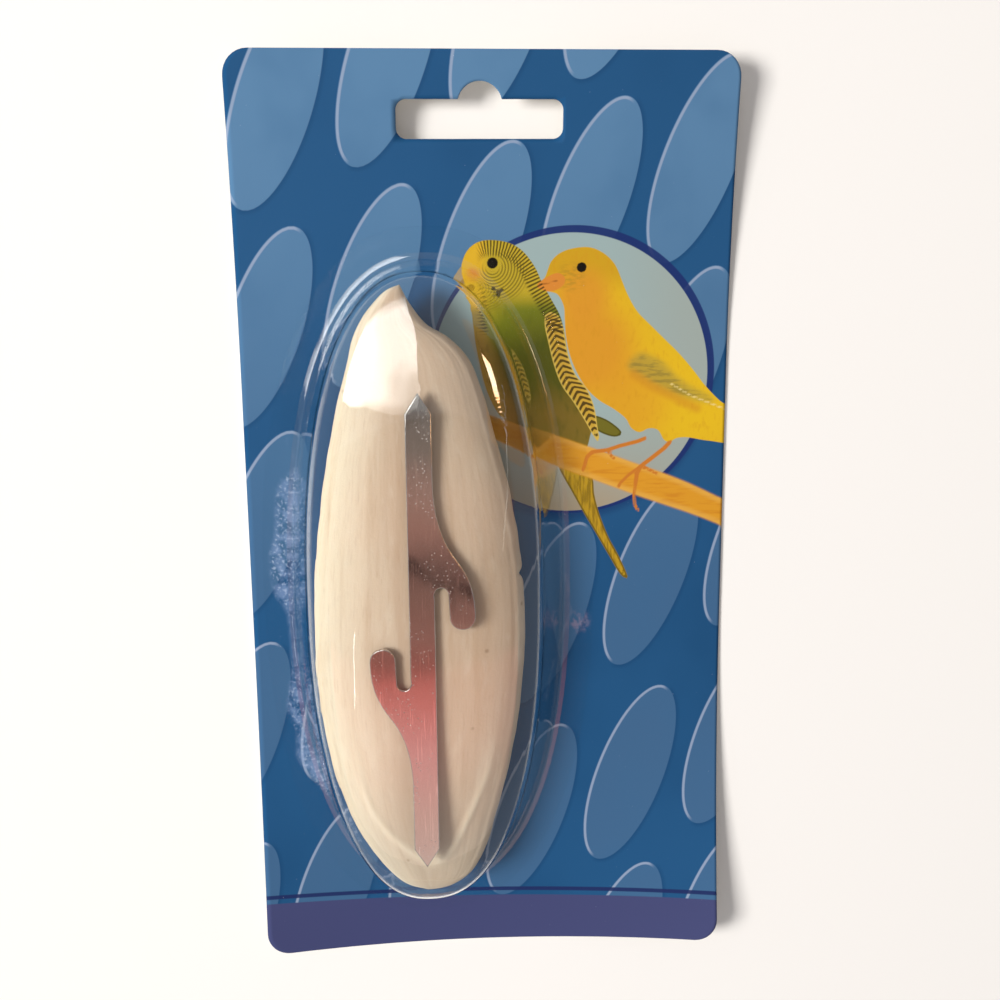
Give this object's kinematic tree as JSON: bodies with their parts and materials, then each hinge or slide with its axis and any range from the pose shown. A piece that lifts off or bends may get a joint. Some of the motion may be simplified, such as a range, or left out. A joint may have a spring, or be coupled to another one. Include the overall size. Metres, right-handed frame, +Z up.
{
  "type": "cuttlebone in a blister pack",
  "caption": "Whole cuttlebone for cage birds, sealed with its flat steel cage clip under a clear dome on a printed hanging card.",
  "frame": {"origin": "on the surface that the pack lies on, below the middle of the card's 100 by 190 mm outline", "axes": "+X to the card's right, +Y towards the hang slot, +Z up out of the printed face"},
  "size_m": [0.1, 0.19, 0.0192],
  "materials": {
    "printed_card": "white packaging board, printed blue in full colour on its face and varnished glossy, plain grey-white back",
    "clear_sheet": "clear thermoformed sheet, glossy, with a frosted heat seal along its flange",
    "chalky_bone": "matt cream chalk with a fine lengthwise grain and a smoother yellowish rim",
    "bright_steel": "thin stamped steel, bright, with fine scratches"
  },
  "bodies": {
    "root": {"card": "printed_card", "blister": "clear_sheet", "cuttlebone": "chalky_bone", "clip": "bright_steel"}
  },
  "joints": []
}
